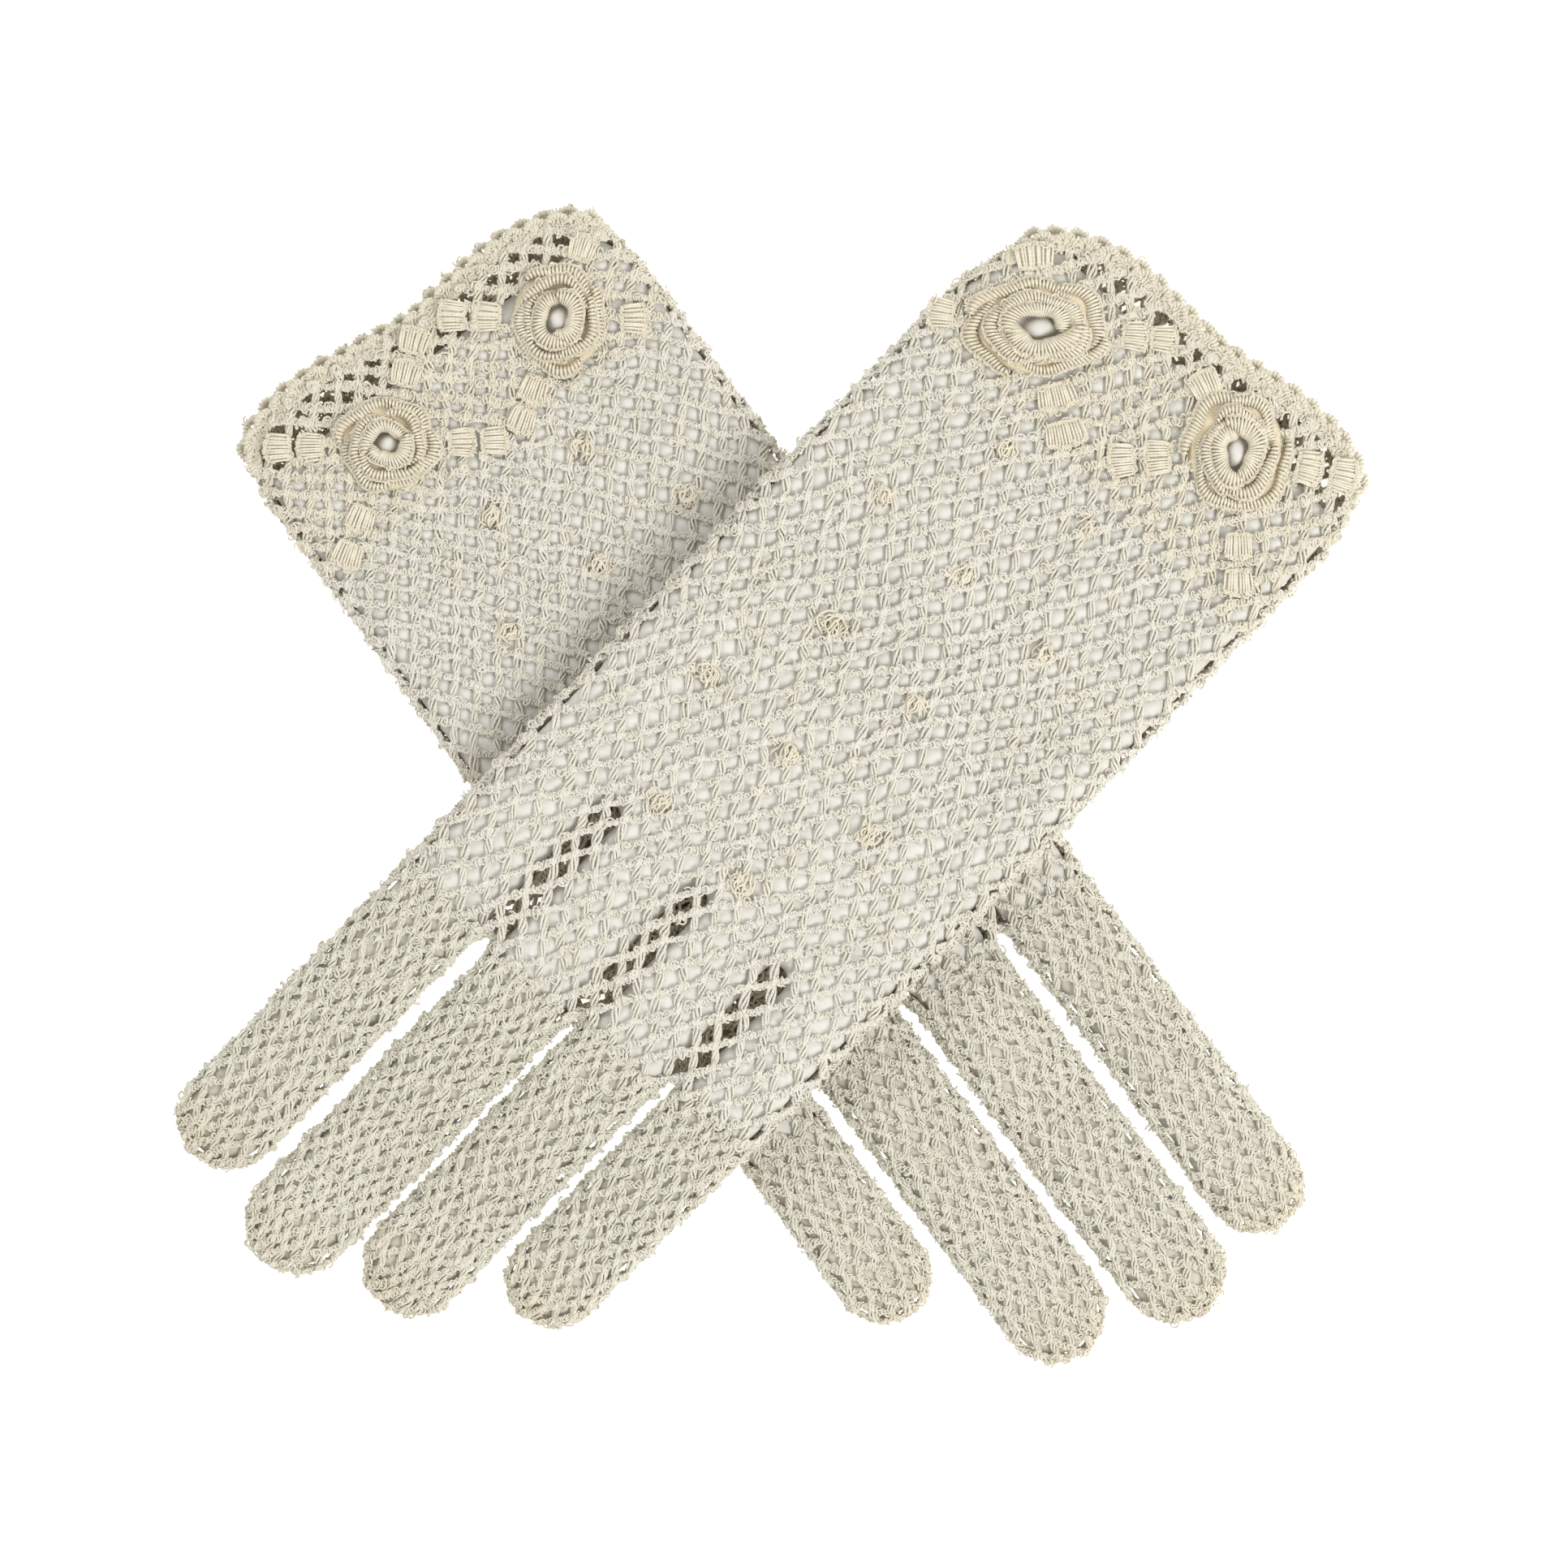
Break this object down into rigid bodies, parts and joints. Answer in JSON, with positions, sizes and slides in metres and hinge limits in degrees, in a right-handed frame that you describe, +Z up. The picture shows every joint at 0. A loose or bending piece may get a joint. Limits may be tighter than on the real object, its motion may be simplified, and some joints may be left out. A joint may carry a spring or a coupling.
{
  "type": "lace wedding gloves",
  "caption": "Pair of crochet-lace bridal gloves lying crossed, backs up, with netted hands and fingers, rose-trimmed cuffs and a soft white insert inside each glove.",
  "frame": {"origin": "middle of the pair's footprint, on the table", "axes": "+Z up out of the table, +Y towards the cuffs, +X to the viewer's right, fingers pointing to -Y"},
  "size_m": [0.2365, 0.2291, 0.0213],
  "materials": {
    "hand_lace": "matte cream cotton crochet net",
    "finger_lace": "matte beige cotton crochet",
    "cuff_lace": "matte cream cotton crochet lace",
    "rose_lace": "matte warm cream cotton, raised stitches",
    "insert": "soft white matte padding"
  },
  "bodies": {
    "right_glove": {"right_hand_net": "hand_lace", "right_cuff_band": "cuff_lace", "right_cuff_edging": "cuff_lace", "right_cuff_shells": "rose_lace", "right_bobbles": "rose_lace", "right_insert_palm": "insert", "right_rose_a_outer_petals": "rose_lace", "right_rose_a_middle_petals": "rose_lace", "right_rose_a_inner_ring": "rose_lace", "right_rose_b_outer_petals": "rose_lace", "right_rose_b_middle_petals": "rose_lace", "right_rose_b_inner_ring": "rose_lace"},
    "right_thumb": {"right_thumb": "finger_lace"},
    "right_index": {"right_index_finger": "finger_lace", "right_insert_index": "insert"},
    "right_middle": {"right_middle_finger": "finger_lace", "right_insert_middle": "insert"},
    "right_ring": {"right_ring_finger": "finger_lace", "right_insert_ring": "insert"},
    "right_little": {"right_little_finger": "finger_lace", "right_insert_little": "insert"},
    "left_glove": {"left_hand_net": "hand_lace", "left_cuff_band": "cuff_lace", "left_cuff_edging": "cuff_lace", "left_cuff_shells": "rose_lace", "left_bobbles": "rose_lace", "left_insert_palm": "insert", "left_rose_a_outer_petals": "rose_lace", "left_rose_a_middle_petals": "rose_lace", "left_rose_a_inner_ring": "rose_lace", "left_rose_b_outer_petals": "rose_lace", "left_rose_b_middle_petals": "rose_lace", "left_rose_b_inner_ring": "rose_lace"},
    "left_thumb": {"left_thumb": "finger_lace"},
    "left_index": {"left_index_finger": "finger_lace", "left_insert_index": "insert"},
    "left_middle": {"left_middle_finger": "finger_lace", "left_insert_middle": "insert"},
    "left_ring": {"left_ring_finger": "finger_lace", "left_insert_ring": "insert"},
    "left_little": {"left_little_finger": "finger_lace", "left_insert_little": "insert"}
  },
  "joints": [
    {"name": "left_glove_lift", "type": "slide", "parent": "right_glove", "child": "left_glove", "axis": [0, 0, 1], "range_m": [0, 0.06]},
    {"name": "left_index_bend", "type": "hinge", "parent": "left_glove", "child": "left_index", "pos_m": [-0.06505, -0.02211, 0.01902], "axis": [-0.7145, 0.6997, 0], "range_deg": [0, 60]},
    {"name": "left_middle_bend", "type": "hinge", "parent": "left_glove", "child": "left_middle", "pos_m": [-0.04776, -0.03904, 0.01902], "axis": [-0.7145, 0.6997, 0], "range_deg": [0, 60]},
    {"name": "left_ring_bend", "type": "hinge", "parent": "left_glove", "child": "left_ring", "pos_m": [-0.03043, -0.05335, 0.01926], "axis": [-0.7145, 0.6997, 0], "range_deg": [0, 60]},
    {"name": "left_little_bend", "type": "hinge", "parent": "left_glove", "child": "left_little", "pos_m": [-0.01212, -0.06596, 0.0195], "axis": [-0.7145, 0.6997, 0], "range_deg": [0, 60]},
    {"name": "left_thumb_swing", "type": "hinge", "parent": "left_glove", "child": "left_thumb", "pos_m": [-0.00631, 0.03402, 0.0111], "axis": [0, 0, -1], "range_deg": [0, 70]},
    {"name": "right_index_bend", "type": "hinge", "parent": "right_glove", "child": "right_index", "pos_m": [0.05311, -0.02347, 0.0068], "axis": [-0.8028, -0.5962, 0], "range_deg": [0, 60]},
    {"name": "right_middle_bend", "type": "hinge", "parent": "right_glove", "child": "right_middle", "pos_m": [0.035, -0.03817, 0.0068], "axis": [-0.8028, -0.5962, 0], "range_deg": [0, 60]},
    {"name": "right_ring_bend", "type": "hinge", "parent": "right_glove", "child": "right_ring", "pos_m": [0.01713, -0.05368, 0.0068], "axis": [-0.8028, -0.5962, 0], "range_deg": [0, 60]},
    {"name": "right_little_bend", "type": "hinge", "parent": "right_glove", "child": "right_little", "pos_m": [0.00146, -0.07117, 0.0068], "axis": [-0.8028, -0.5962, 0], "range_deg": [0, 60]},
    {"name": "right_thumb_swing", "type": "hinge", "parent": "right_glove", "child": "right_thumb", "pos_m": [0.01025, 0.03289, 0.0012], "axis": [0, 0, 1], "range_deg": [0, 70]}
  ]
}
